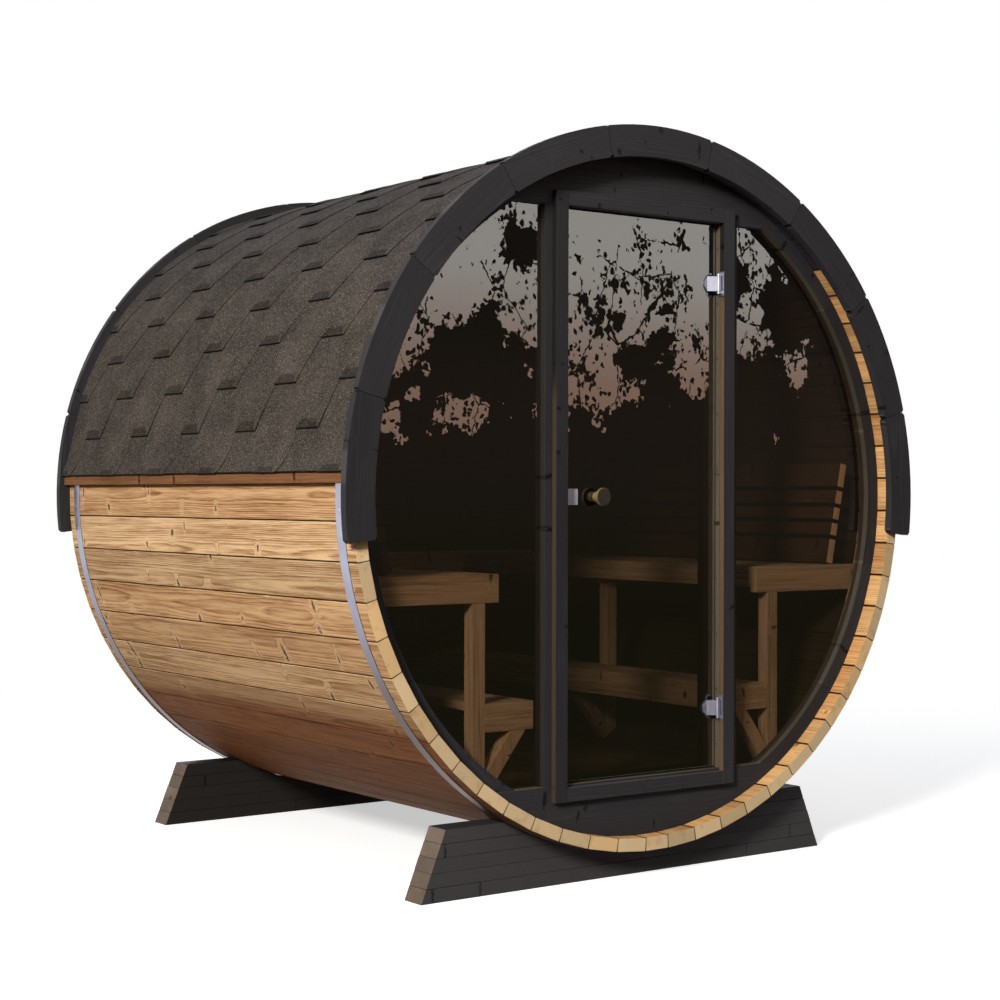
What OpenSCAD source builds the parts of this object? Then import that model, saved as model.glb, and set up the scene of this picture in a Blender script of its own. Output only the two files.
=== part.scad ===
// Barrel sauna: a lying timber barrel on two cradles, shingled over its upper half,
// with a glazed front wall, a hinged glass door, and a bench and a footrest on each side.
// Millimetres. The barrel's axis runs along Y, the front faces -Y and the ground is Z = 0.

/* [Barrel] */
// Radius over the outer corners of the staves
barrel_radius = 1025; // [850:5:1240]
// Length of the staves
barrel_length = 1780; // [1400:10:3000]
// Thickness of the staves
stave_thickness = 38; // [30:1:46]
// Number of full staves, not counting the narrow closing stave
stave_count = 59; // [45:1:72]
// Height of the barrel's lowest point above the ground
ground_gap = 80; // [50:5:120]

/* [Roof and end trim] */
// Thickness of the shingle covering
shingle_thickness = 6; // [4:1:10]
// Number of shingle courses on each side
shingle_courses = 12; // [8:1:14]
// Width of the end fascia across the ring
fascia_width = 90; // [70:1:120]
// Thickness of the fascia boards
fascia_thickness = 24; // [18:1:32]
// Number of boards in each fascia
fascia_boards = 9; // [7:1:13]

/* [Cradles] */
// Height of a cradle at its ends
cradle_height = 196; // [160:4:240]
// Thickness of a cradle along the barrel
cradle_thickness = 82; // [60:1:100]
// Distance from the barrel's end to the cradle
cradle_inset = 84; // [84:1:300]

/* [Front wall] */
// Distance from the staves' ends to the wall
wall_recess = 48; // [40:1:80]
// Thickness of the front and back walls
wall_thickness = 42; // [36:1:50]
// Clear width of the doorway
doorway_width = 592; // [520:2:700]
// Height of the wall left under the openings
sill_rise = 170; // [140:2:220]
// Depth of the wall left over the openings
head_drop = 172; // [140:2:220]

/* [Benches] */
// Height of the floor above the inside of the barrel's bottom
floor_rise = 147; // [110:1:180]
// Height of the seats above the floor
seat_rise = 621; // [520:1:680]
// Clear width between the two benches
bench_aisle = 980; // [820:2:1060]
// Height of the footrests above the floor
footrest_rise = 263; // [200:1:320]
// Clear width between the two footrests
footrest_aisle = 740; // [600:2:780]

/* [Hidden] */
$fn = 180;

// Rubbing gaps: between parts that touch, and between neighbouring staves.
touch_gap = 0.3;
stave_gap = 0.4;
cut = 1;

// Barrel.
closing_stave_angle = 4.8;
closing_stave_centre = 0.6;
full_turn = 360;
stave_angle = (full_turn - closing_stave_angle) / stave_count;
outer_chamfer = 3;
inner_chamfer = 2;
axis_height = barrel_radius + ground_gap;
front_end = -barrel_length / 2;
back_end = barrel_length / 2;
inner_flat = barrel_radius * cos(stave_angle / 2) - stave_thickness;
wall_radius = inner_flat - touch_gap;
quarter_staves = floor(stave_count / 4);

// Eave battens and shingles, by height above the barrel's axis.
batten_low = 30;
batten_high = 60;
batten_thickness = 20;
roof_radius = barrel_radius + touch_gap;
shingle_radius = roof_radius + shingle_thickness;
shingle_start = asin((batten_high + touch_gap) / shingle_radius);
course_angle = (90 - shingle_start) / shingle_courses;
course_step = 2;
course_gap = 0.02;
flare_top = shingle_radius * sin(shingle_start + course_angle * 0.8);

// Fascia rings.
fascia_reach = 35;
fascia_outer = barrel_radius + fascia_reach;
fascia_inner = fascia_outer - fascia_width;
fascia_half_angle = 96.9;
fascia_gap = 3;
fascia_corner = 14;

// Steel bands.
band_inset = 43;
band_width = 38;
band_thickness = 1.6;

// Cradles.
cradle_layers = 5;
full_layers = 2;
cradle_bottom_half = barrel_radius * 0.7356;
cradle_end_slope = 80;
cradle_top_half = cradle_bottom_half - cradle_end_slope;
upper_layer = (cradle_height - ground_gap) / (cradle_layers - full_layers);

// Front wall, in heights above the barrel's axis.
wall_front = front_end + wall_recess;
wall_back = wall_front + wall_thickness;
rim_width = 45;
rim_radius = wall_radius - rim_width;
rim_boards = 5;
opening_low = -(barrel_radius - stave_thickness) + sill_rise;
opening_high = barrel_radius - stave_thickness - head_drop;
post_width = 70;
post_half_inner = doorway_width / 2;
post_half_outer = post_half_inner + post_width;
window_glass_depth = 18;
window_glass_thickness = 6;

// Door casing outside and the door stops inside the doorway.
casing_width = 44;
casing_thickness = 19;
casing_overlap = 40;
casing_rail_gap = 6;
casing_front = wall_front - casing_thickness - touch_gap;
stop_lap = 34;
stop_rise = 16;
stop_drop = 32;
stop_clearance = 10.8;
stop_proud = 18;
stop_back = wall_back + stop_proud;

// Door glass, hung on the right-hand post seen from outside.
door_gap = 6;
door_glass_thickness = 8;
door_glass_depth = 15;
door_glass_front = wall_front + door_glass_depth;
stop_front = door_glass_front + door_glass_thickness + stop_clearance;
door_half = post_half_inner - door_gap;
door_low = opening_low + door_gap;
door_high = opening_high - door_gap;
pin_inset = 12;
pin_forward = 23;
pin_x = post_half_inner - pin_inset;
pin_y = door_glass_front - pin_forward;
hinge_end_distance = 176;
hinge_heights = [door_low + hinge_end_distance, door_high - hinge_end_distance];
pin_radius = 4;
pin_clearance = 0.05;
clamp_half_height = 22;
clamp_plate = 5;
clamp_reach = 39;
clamp_rise = 30;
ear_height = 8;
ear_radius = 6;
ear_gap = 0.5;
hinge_plate_margin = 5.5;
hinge_plate_half = clamp_half_height + ear_gap + ear_height + hinge_plate_margin;
clamp_slip = 0.15;
knuckle_radius = 6.5;
hinge_plate_thickness = 4;
hinge_plate_width = 18;
glass_notch = 20;
notch_half = clamp_half_height - 4;

// Door knobs and the catch plate on the free edge of the glass.
knob_inset = 123;
knob_height = -5;
knob_radius = 26;
knob_thickness = 10;
knob_edge = 2;
knob_neck_radius = 15;
knob_neck_length = 26;
knob_bore_radius = 6;
catch_width = 54;
catch_height = 46;
catch_thickness = 2;

// Benches and footrests.
floor_top = ground_gap + stave_thickness + floor_rise;
seat_top = floor_top + seat_rise;
footrest_top = floor_top + footrest_rise;
board = 28;
end_board_height = 80;
rail_height = 64;
post_size = 42;
bench_edge = bench_aisle / 2;
post_offset = 48;
post_x = bench_edge + post_offset;
footrest_edge = footrest_aisle / 2;
bench_front = wall_back + touch_gap;
bench_back = -bench_front;
seat_slats = 4;
slat_gap = 10;
seat_back_clearance = 60;
footrest_slats = 2;
frame_starts = [bench_front, -post_size / 2, bench_back - post_size];
brace_width = 42;
brace_angle = 37;

// Backrests: slats on leaning battens.
back_slat_heights = [78, 40, 39, 43, 76];
back_slat_gap = 12;
back_lean = 11.5;
back_clearance = 38;
batten_depth = 26;
batten_width = 45;
back_rise = board * sin(back_lean) + 1;
batten_start = ((board + batten_depth) * sin(back_lean) + touch_gap - back_rise) / cos(back_lean);
back_batten_spots = [-0.86, 0, 0.86];

// Floor.
floor_board = 28;
floor_board_width = 92;
floor_board_gap = 8;
floor_bearer_width = 45;
floor_bearer_height = 60;
floor_bearer_spots = [-0.8, 0, 0.8];
floor_clearance = 12;

// Back wall, and the rail on its inside.
back_wall_boards = 14;
rail_proud = 12;
rail_bevel_drop = 16;
rail_bevel_run = 44;
rail_end_clearance = 116;

// A flat shape drawn across the barrel, centred on its axis, given a depth along Y.
module across(front, depth) {
    translate([0, front + depth, axis_height])
        rotate([90, 0, 0])
            linear_extrude(depth)
                children();
}

// The sector of a ring between two angles, counted from the top towards +X.
module ring_sector(outer, inner, from, to) {
    reach = outer * 2;
    middle = (from + to) / 2;
    intersection() {
        difference() {
            circle(outer);
            circle(inner);
        }
        polygon([
            [0, 0],
            [reach * sin(from), reach * cos(from)],
            [reach * sin(middle), reach * cos(middle)],
            [reach * sin(to), reach * cos(to)]
        ]);
    }
}

// A block from its low corner to its high corner.
module block(low, high) {
    translate(low)
        cube(high - low);
}

module both_sides() {
    children();
    mirror([1, 0, 0])
        children();
}

// ---- Barrel ----

module stave(angle) {
    half = angle / 2;
    top = barrel_radius * cos(stave_angle / 2);
    low = inner_flat;
    across(front_end, barrel_length)
        polygon([
            [side_at(low + inner_chamfer, half), low + inner_chamfer],
            [side_at(top - outer_chamfer, half), top - outer_chamfer],
            [side_at(top, half) - outer_chamfer, top],
            [outer_chamfer - side_at(top, half), top],
            [-side_at(top - outer_chamfer, half), top - outer_chamfer],
            [-side_at(low + inner_chamfer, half), low + inner_chamfer],
            [inner_chamfer - side_at(low, half), low],
            [side_at(low, half) - inner_chamfer, low]
        ]);
}

function side_at(height, half) = height * tan(half) - stave_gap / 2;

// Turns a piece made at the top of the barrel to an angle from the bottom, towards +X.
module turned_from_bottom(angle) {
    translate([0, 0, axis_height])
        rotate([0, 180 - angle, 0])
            translate([0, 0, -axis_height])
                children();
}

module staves(first, last) {
    start = closing_stave_centre + closing_stave_angle / 2;
    for (i = [first : last])
        turned_from_bottom(start + (i + 0.5) * stave_angle)
            stave(stave_angle);
}

module closing_stave() {
    turned_from_bottom(closing_stave_centre)
        stave(closing_stave_angle);
}

module staves_lower_right() {
    color("BurlyWood")
        staves(0, quarter_staves);
}

module staves_upper_right() {
    color("BurlyWood")
        staves(quarter_staves + 1, 2 * quarter_staves);
}

module staves_upper_left() {
    color("BurlyWood")
        staves(2 * quarter_staves + 1, stave_count - quarter_staves - 2);
}

module staves_lower_left() {
    color("BurlyWood") {
        staves(stave_count - quarter_staves - 1, stave_count - 1);
        closing_stave();
    }
}

// ---- Roof ----

function chord_half(radius, height) = sqrt(pow(radius, 2) - pow(height, 2));

// A disc whose outline leaves the round at the flare's top and stands off it by the reach at the eave.
module flared_disc(radius, reach) {
    circle(radius);
    polygon([
        [0, batten_high],
        [chord_half(radius, batten_high) + reach, batten_high],
        [chord_half(radius, flare_top), flare_top],
        [0, flare_top]
    ]);
}

// The batten shows below the shingles, and its tapered upper part tilts the lowest course outwards.
module eave_battens() {
    face = chord_half(roof_radius, batten_high) + batten_thickness;
    color("Peru")
        both_sides()
            across(front_end, barrel_length)
                difference() {
                    intersection() {
                        union() {
                            flared_disc(roof_radius, batten_thickness);
                            translate([0, batten_low])
                                square([face, batten_high - batten_low]);
                        }
                        translate([0, batten_low])
                            square([2 * barrel_radius, flare_top - batten_low]);
                    }
                    circle(roof_radius);
                }
}

module eave_course() {
    across(front_end, barrel_length)
        intersection() {
            difference() {
                flared_disc(shingle_radius, batten_thickness);
                flared_disc(roof_radius + touch_gap, batten_thickness);
            }
            ring_sector(2 * barrel_radius, cut, 90 - shingle_start - course_angle + course_gap, 90);
            translate([0, batten_high + touch_gap])
                square([2 * barrel_radius, 2 * barrel_radius]);
        }
}

// Courses step outwards and back by a little, as overlapped shingles do.
module shingles() {
    eave_course();
    for (i = [0 : shingle_courses - 2])
        across(front_end, barrel_length)
            ring_sector(
                shingle_radius + (i % 2) * course_step,
                roof_radius,
                i * course_angle + course_gap,
                (i + 1) * course_angle - course_gap
            );
}

module shingles_right() {
    color("DimGray")
        shingles();
}

module shingles_left() {
    color("DimGray")
        mirror([1, 0, 0])
            shingles();
}

// ---- End trim ----

module fascia_board(from, to) {
    middle = (from + to) / 2;
    half_gap = fascia_gap / 2;
    reach = 2 * fascia_outer;
    difference() {
        intersection() {
            difference() {
                circle(fascia_outer);
                circle(fascia_inner);
            }
            polygon([
                [half_gap * cos(middle), -half_gap * sin(middle)],
                [-half_gap * cos(middle), half_gap * sin(middle)],
                [reach * sin(from), reach * cos(from)],
                [reach * sin(middle), reach * cos(middle)],
                [reach * sin(to), reach * cos(to)]
            ]);
        }
        for (side = [from, to])
            for (radius = [fascia_outer, fascia_inner])
                translate([radius * sin(side), radius * cos(side)])
                    circle(fascia_corner / 2, $fn = 4);
    }
}

module fascia(front) {
    step = 2 * fascia_half_angle / fascia_boards;
    gap_angle = fascia_gap / fascia_outer * 180 / PI / 2;
    color("DarkSlateGray")
        across(front, fascia_thickness)
            for (i = [0 : fascia_boards - 1])
                fascia_board(-fascia_half_angle + i * step + gap_angle, -fascia_half_angle + (i + 1) * step - gap_angle);
}

module front_fascia() {
    fascia(front_end - touch_gap - fascia_thickness);
}

module back_fascia() {
    fascia(back_end + touch_gap);
}

module band(front) {
    across(front, band_width)
        difference() {
            circle(roof_radius + band_thickness);
            circle(roof_radius);
            translate([-2 * barrel_radius, batten_low - touch_gap])
                square([4 * barrel_radius, 2 * barrel_radius]);
        }
}

module steel_bands() {
    color("Silver") {
        band(front_end + band_inset);
        band(back_end - band_inset - band_width);
    }
}

// ---- Cradles ----

// The full boards fill the height under the barrel, the others are cut by the saddle.
function layer_top(i) = i < full_layers
    ? (i + 1) * ground_gap / full_layers
    : ground_gap + (i + 1 - full_layers) * upper_layer;

function cradle_half(height) = cradle_bottom_half - cradle_end_slope * height / cradle_height;

module cradle_layer(low, high) {
    difference() {
        polygon([
            [-cradle_half(low), low - axis_height],
            [cradle_half(low), low - axis_height],
            [cradle_half(high), high - axis_height],
            [-cradle_half(high), high - axis_height]
        ]);
        circle(roof_radius);
    }
}

module cradle(front) {
    for (i = [0 : cradle_layers - 1])
        across(front, cradle_thickness)
            cradle_layer(i > 0 ? layer_top(i - 1) + touch_gap : 0, layer_top(i));
}

module front_cradle() {
    color("DarkSlateGray")
        cradle(front_end + cradle_inset);
}

module back_cradle() {
    color("DarkSlateGray")
        cradle(back_end - cradle_inset - cradle_thickness);
}

// ---- Front wall ----

module front_wall_head() {
    color("DarkSlateGray")
        across(wall_front, wall_thickness)
            intersection() {
                circle(wall_radius);
                translate([-wall_radius, opening_high])
                    square([2 * wall_radius, wall_radius]);
            }
}

module front_wall_sill() {
    color("DarkSlateGray")
        across(wall_front, wall_thickness)
            intersection() {
                circle(wall_radius);
                translate([-wall_radius, opening_low - wall_radius])
                    square([2 * wall_radius, wall_radius]);
            }
}

module rim() {
    top_angle = acos(opening_high / rim_radius) - 4;
    low_angle = acos(opening_low / rim_radius) + 4;
    step = (low_angle - top_angle) / rim_boards;
    for (i = [0 : rim_boards - 1])
        across(wall_front, wall_thickness)
            intersection() {
                ring_sector(
                    wall_radius,
                    rim_radius,
                    top_angle + i * step + course_gap / 2,
                    top_angle + (i + 1) * step - course_gap / 2
                );
                translate([0, opening_low + touch_gap])
                    square([2 * wall_radius, opening_high - opening_low - 2 * touch_gap]);
            }
}

module front_wall_right_rim() {
    color("DarkSlateGray")
        rim();
}

module front_wall_left_rim() {
    color("DarkSlateGray")
        mirror([1, 0, 0])
            rim();
}

module door_post() {
    color("DarkSlateGray")
        block(
            [post_half_inner, wall_front, axis_height + opening_low + touch_gap],
            [post_half_outer, wall_back, axis_height + opening_high - touch_gap]
        );
}

module right_door_post() {
    door_post();
}

module left_door_post() {
    mirror([1, 0, 0])
        door_post();
}

module casing_boards(front, thickness, inner_half, outer_half, low, high, rail_low, rail_high) {
    both_sides()
        block(
            [inner_half, front, axis_height + low],
            [outer_half, front + thickness, axis_height + high]
        );
    for (rail = [[low, rail_low], [rail_high, high]])
        block(
            [touch_gap - inner_half, front, axis_height + rail[0]],
            [inner_half - touch_gap, front + thickness, axis_height + rail[1]]
        );
}

module door_casing() {
    color("DarkSlateGray")
        casing_boards(
            casing_front,
            casing_thickness,
            post_half_inner,
            post_half_inner + casing_width,
            opening_low - casing_rail_gap - casing_overlap,
            opening_high + casing_overlap,
            opening_low - casing_rail_gap,
            opening_high
        );
}

module door_stops() {
    color("Peru")
        casing_boards(
            stop_front,
            stop_back - stop_front,
            post_half_inner - stop_lap,
            post_half_inner - touch_gap,
            opening_low + touch_gap,
            opening_high - touch_gap,
            opening_low + stop_rise,
            opening_high - stop_drop
        );
}

module window_glass() {
    color("SlateGray", 0.5)
        across(wall_front + window_glass_depth, window_glass_thickness)
            intersection() {
                circle(rim_radius - touch_gap);
                translate([post_half_outer + touch_gap, opening_low + touch_gap])
                    square([wall_radius, opening_high - opening_low - 2 * touch_gap]);
            }
}

module right_window_glass() {
    window_glass();
}

module left_window_glass() {
    mirror([1, 0, 0])
        window_glass();
}

module back_wall() {
    step = 2 * wall_radius / back_wall_boards;
    color("DarkSlateGray")
        for (i = [0 : back_wall_boards - 1])
            across(-wall_back, wall_thickness)
                intersection() {
                    circle(wall_radius);
                    translate([-wall_radius, -wall_radius + i * step + touch_gap / 2])
                        square([2 * wall_radius, step - touch_gap]);
                }
}

// ---- Door ----

module door_glass() {
    color("SlateGray", 0.5)
        difference() {
            block(
                [-door_half, door_glass_front, axis_height + door_low],
                [door_half, door_glass_front + door_glass_thickness, axis_height + door_high]
            );
            for (height = hinge_heights)
                block(
                    [door_half - glass_notch, door_glass_front - cut, axis_height + height - notch_half],
                    [door_half + cut, door_glass_front + door_glass_thickness + cut, axis_height + height + notch_half]
                );
            knob_bore(door_glass_front - cut, door_glass_thickness + 2 * cut);
        }
}

module knob_bore(front, depth) {
    translate([-door_half + knob_inset, 0, 0])
        across(front, depth)
            translate([0, knob_height])
                circle(knob_bore_radius + touch_gap);
}

module clamp_face(front) {
    left = pin_x - clamp_reach + clamp_half_height;
    translate([0, 0, -axis_height])
        across(front, clamp_plate) {
            translate([left, 0])
                intersection() {
                    circle(clamp_half_height);
                    translate([-2 * clamp_half_height, -clamp_half_height])
                        square([2 * clamp_half_height, 2 * clamp_half_height]);
                }
            translate([left, -clamp_half_height])
                square([door_half - left, 2 * clamp_half_height]);
        }
}

// The clamp holds the glass between two D-shaped faces, and rises in front of it to turn on the pin.
module hinge_clamp() {
    core_left = door_half - glass_notch + touch_gap;
    core_half = notch_half - touch_gap;
    face_front = door_glass_front - clamp_slip - clamp_plate;
    difference() {
        union() {
            clamp_face(face_front);
            clamp_face(door_glass_front + door_glass_thickness + clamp_slip);
            block(
                [core_left, face_front, -core_half],
                [door_half, door_glass_front + door_glass_thickness + clamp_slip + clamp_plate, core_half]
            );
            translate([0, 0, -clamp_half_height])
                linear_extrude(2 * clamp_half_height)
                    polygon([
                        [pin_x - clamp_rise, face_front],
                        [pin_x, pin_y - knuckle_radius],
                        [pin_x, face_front + clamp_plate / 2],
                        [pin_x - clamp_rise, face_front + clamp_plate / 2]
                    ]);
            translate([pin_x, pin_y, -clamp_half_height])
                cylinder(h = 2 * clamp_half_height, r = knuckle_radius);
        }
        translate([pin_x, pin_y, -clamp_half_height - cut])
            cylinder(h = 2 * (clamp_half_height + cut), r = pin_radius + pin_clearance);
    }
}

module door_hinge_clamps() {
    color("Silver")
        for (height = hinge_heights)
            translate([0, 0, axis_height + height])
                hinge_clamp();
}

// The wall plate carries an ear above and below the clamp, joined by the pin.
module hinge_plate() {
    face = post_half_inner - touch_gap;
    block(
        [face - hinge_plate_thickness, casing_front + touch_gap, -hinge_plate_half],
        [face, casing_front + hinge_plate_width, hinge_plate_half]
    );
    for (low = [clamp_half_height + ear_gap, -clamp_half_height - ear_gap - ear_height]) {
        block(
            [pin_x, pin_y - ear_radius, low],
            [face - hinge_plate_thickness, pin_y + ear_radius, low + ear_height]
        );
        translate([pin_x, pin_y, low])
            cylinder(h = ear_height, r = ear_radius);
    }
    translate([pin_x, pin_y, -clamp_half_height - ear_gap - ear_height / 2])
        cylinder(h = 2 * clamp_half_height + 2 * ear_gap + ear_height, r = pin_radius);
}

module door_hinge_plates() {
    color("Silver")
        for (height = hinge_heights)
            translate([0, 0, axis_height + height])
                hinge_plate();
}

// A turned wooden knob whose neck meets the glass at its own local origin, and points away from it.
module knob(spigot) {
    rotate_extrude()
        polygon([
            [0, -spigot],
            [knob_bore_radius, -spigot],
            [knob_bore_radius, touch_gap],
            [knob_neck_radius, touch_gap],
            [knob_neck_radius, knob_neck_length],
            [knob_radius - knob_edge, knob_neck_length],
            [knob_radius, knob_neck_length + knob_edge],
            [knob_radius, knob_neck_length + knob_thickness - knob_edge],
            [knob_radius - knob_edge, knob_neck_length + knob_thickness],
            [0, knob_neck_length + knob_thickness]
        ]);
}

module door_knob_outside() {
    color("Peru")
        translate([-door_half + knob_inset, door_glass_front, axis_height + knob_height])
            rotate([90, 0, 0])
                knob(door_glass_thickness / 2 - touch_gap / 2);
}

module door_knob_inside() {
    color("Peru")
        translate([-door_half + knob_inset, door_glass_front + door_glass_thickness, axis_height + knob_height])
            rotate([-90, 0, 0])
                knob(door_glass_thickness / 2 - touch_gap / 2);
}

module door_catch_plate() {
    color("Silver")
        block(
            [-door_half, door_glass_front - catch_thickness - touch_gap, axis_height + knob_height - catch_height / 2],
            [-door_half + catch_width, door_glass_front - touch_gap, axis_height + knob_height + catch_height / 2]
        );
}

// ---- Benches ----

// Keeps what lies inside the staves.
module inside_barrel() {
    intersection() {
        children();
        across(bench_front, bench_back - bench_front)
            circle(wall_radius);
    }
}

// A board across the bench at its front end and a lower one at its middle, with the edge rail.
module bench_frame() {
    color("BurlyWood") {
        inside_barrel() {
            block(
                [bench_edge, bench_front, seat_top - end_board_height],
                [barrel_radius, bench_front + board, seat_top]
            );
            block(
                [bench_edge + board + touch_gap, -board / 2, seat_top - end_board_height],
                [barrel_radius, board / 2, seat_top - board - touch_gap]
            );
        }
        block(
            [bench_edge, bench_front + board + touch_gap, seat_top - rail_height],
            [bench_edge + board, bench_back - board - touch_gap, seat_top]
        );
    }
}

module bench_slats() {
    first = bench_edge + board + slat_gap;
    last = chord_half(inner_flat, axis_height - seat_top + board) - seat_back_clearance;
    width = (last - first - (seat_slats - 1) * slat_gap) / seat_slats;
    color("BurlyWood")
        for (i = [0 : seat_slats - 1])
            block(
                [first + i * (width + slat_gap), bench_front + board + touch_gap, seat_top - board],
                [first + i * (width + slat_gap) + width, bench_back - board - touch_gap, seat_top]
            );
}

module bench_post(front) {
    top = seat_top - end_board_height - touch_gap;
    block([post_x, front, 0], [post_x + post_size, front + post_size, top]);
}

module bench_brace(front) {
    corner = footrest_top - end_board_height - touch_gap;
    intersection() {
        translate([footrest_edge + board, front, corner])
            rotate([0, -brace_angle, 0])
                block([0, 0, -axis_height], [brace_width, post_size, axis_height]);
        block([footrest_edge, front, 0], [post_x - touch_gap, front + post_size, corner]);
    }
}

module bench_posts() {
    color("BurlyWood")
        inside_barrel()
            for (front = frame_starts) {
                bench_post(front);
                bench_brace(front);
            }
}

module footrest() {
    last = post_x - touch_gap;
    first = footrest_edge + board + slat_gap;
    width = (last - first - (footrest_slats - 1) * slat_gap) / footrest_slats;
    color("BurlyWood") {
        for (front = [bench_front, bench_back - board])
            block([footrest_edge, front, footrest_top - end_board_height], [last, front + board, footrest_top]);
        block(
            [footrest_edge + board + touch_gap, -board / 2, footrest_top - end_board_height],
            [last, board / 2, footrest_top - board - touch_gap]
        );
        block(
            [footrest_edge, bench_front + board + touch_gap, footrest_top - end_board_height],
            [footrest_edge + board, bench_back - board - touch_gap, footrest_top]
        );
        for (i = [0 : footrest_slats - 1])
            block(
                [first + i * (width + slat_gap), bench_front + board + touch_gap, footrest_top - board],
                [first + i * (width + slat_gap) + width, bench_back - board - touch_gap, footrest_top]
            );
    }
}

function back_slat_low(i) = i == 0 ? 0 : back_slat_low(i - 1) + back_slat_heights[i - 1] + back_slat_gap;

module backrest() {
    last = len(back_slat_heights) - 1;
    total = back_slat_low(last) + back_slat_heights[last];
    top = seat_top + back_rise + total * cos(back_lean) - axis_height;
    depth = (board + batten_depth) * cos(back_lean) + total * sin(back_lean);
    foot = chord_half(inner_flat, max(0, top)) - depth - back_clearance;
    color("BurlyWood")
        translate([foot, 0, seat_top + back_rise])
            rotate([0, back_lean, 0]) {
                for (i = [0 : last])
                    block(
                        [0, bench_front + board, back_slat_low(i)],
                        [board, bench_back - board, back_slat_low(i) + back_slat_heights[i]]
                    );
                for (spot = back_batten_spots)
                    block(
                        [board + touch_gap, spot * bench_back - batten_width / 2, batten_start],
                        [board + batten_depth, spot * bench_back + batten_width / 2, total]
                    );
            }
}

module right_bench_frame() {
    bench_frame();
}

module left_bench_frame() {
    mirror([1, 0, 0])
        bench_frame();
}

module right_bench_slats() {
    bench_slats();
}

module left_bench_slats() {
    mirror([1, 0, 0])
        bench_slats();
}

module right_bench_posts() {
    bench_posts();
}

module left_bench_posts() {
    mirror([1, 0, 0])
        bench_posts();
}

module right_footrest() {
    footrest();
}

module left_footrest() {
    mirror([1, 0, 0])
        footrest();
}

module right_backrest() {
    backrest();
}

module left_backrest() {
    mirror([1, 0, 0])
        backrest();
}

// ---- Floor and back rail ----

module floor_boards() {
    room = min(post_x, chord_half(inner_flat, axis_height - floor_top + floor_board)) - floor_clearance;
    pitch = floor_board_width + floor_board_gap;
    count = floor((2 * room + floor_board_gap) / pitch);
    start = -(count * pitch - floor_board_gap) / 2;
    color("Peru")
        for (i = [0 : count - 1])
            block(
                [start + i * pitch, stop_back + touch_gap, floor_top - floor_board],
                [start + i * pitch + floor_board_width, bench_back - board - touch_gap, floor_top]
            );
}

module floor_bearers() {
    top = floor_top - floor_board - touch_gap;
    color("Peru")
        inside_barrel()
            for (spot = floor_bearer_spots)
                block(
                    [touch_gap - post_x, spot * bench_back - floor_bearer_width / 2, top - floor_bearer_height],
                    [post_x - touch_gap, spot * bench_back + floor_bearer_width / 2, top]
                );
}

// One board on the back wall carries the back ends of both benches.
module back_cross_rail() {
    half = chord_half(inner_flat, axis_height - seat_top) - rail_end_clearance;
    low = seat_top - end_board_height - axis_height;
    high = seat_top + rail_proud - axis_height;
    color("BurlyWood")
        across(bench_back - board, board)
            polygon([
                [-half, low],
                [half, low],
                [half, high - rail_bevel_drop],
                [half - rail_bevel_run, high],
                [rail_bevel_run - half, high],
                [-half, high - rail_bevel_drop]
            ]);
}

staves_lower_left();
staves_lower_right();
staves_upper_left();
staves_upper_right();
eave_battens();
shingles_left();
shingles_right();
front_fascia();
back_fascia();
steel_bands();
front_cradle();
back_cradle();
front_wall_head();
front_wall_sill();
front_wall_left_rim();
front_wall_right_rim();
left_door_post();
right_door_post();
door_casing();
door_stops();
left_window_glass();
right_window_glass();
back_wall();
door_glass();
door_hinge_clamps();
door_knob_outside();
door_knob_inside();
door_catch_plate();
door_hinge_plates();
left_bench_frame();
left_bench_slats();
left_bench_posts();
left_footrest();
left_backrest();
right_bench_frame();
right_bench_slats();
right_bench_posts();
right_footrest();
right_backrest();
floor_boards();
floor_bearers();
back_cross_rail();
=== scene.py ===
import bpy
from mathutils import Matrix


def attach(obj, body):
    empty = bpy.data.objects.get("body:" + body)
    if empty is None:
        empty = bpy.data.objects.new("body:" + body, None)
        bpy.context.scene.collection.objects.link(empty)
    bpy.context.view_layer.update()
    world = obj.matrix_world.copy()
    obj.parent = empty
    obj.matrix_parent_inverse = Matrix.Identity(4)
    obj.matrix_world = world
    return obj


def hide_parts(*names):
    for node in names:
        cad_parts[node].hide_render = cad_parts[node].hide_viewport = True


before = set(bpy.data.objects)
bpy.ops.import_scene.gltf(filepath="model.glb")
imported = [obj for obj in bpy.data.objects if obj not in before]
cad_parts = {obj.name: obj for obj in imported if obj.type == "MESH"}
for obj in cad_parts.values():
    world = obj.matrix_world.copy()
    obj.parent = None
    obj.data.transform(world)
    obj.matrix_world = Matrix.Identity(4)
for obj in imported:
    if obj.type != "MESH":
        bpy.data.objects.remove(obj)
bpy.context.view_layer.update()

import math
import random

import bmesh
import bpy
from mathutils import Matrix, Vector, noise

# ---------------------------------------------------------------- sizes, in metres and degrees

AXIS_Z = 1.105
FRONT_END, BACK_END = -0.890, 0.890

# Shingles; an arc is measured from the ridge, a lift from the roof outwards.
COURSE = 0.1306
COURSES = 11
TAB_PITCH = 0.3420
TAB_FOOT = 0.115
TAB_HEAD = 0.227
TAB_STARTS = (0.242, 0.071)
TAB_LAST = 7
TAB_TUCK = 0.018
TAB_THICK = 0.0036
TAB_ROWS = 9
FIRST_TAB_ARC = 1.4445
STRIP_GAP = 0.004
STRIP_LIFTS = (-0.0042, -0.0014)
STRIP_THICK = 0.0016
STRIP_CELLS = 14
STRIP_ROWS = 9
SLIVER = 0.004
SHINGLE_RADIUS = 1.0335
EAVE_Z = 1.1655
FLARE = 0.021
FLARE_ARC = 0.105
EAVE_ARC = SHINGLE_RADIUS * math.acos((EAVE_Z - AXIS_Z) / (SHINGLE_RADIUS + FLARE))
WAVE = 0.0011
RIDGE_PIECES = 12
RIDGE_HALF = 0.150
RIDGE_STEP = 0.1483
RIDGE_LAP = 0.03
RIDGE_LIFTS = (0.0066, 0.0036)
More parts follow.
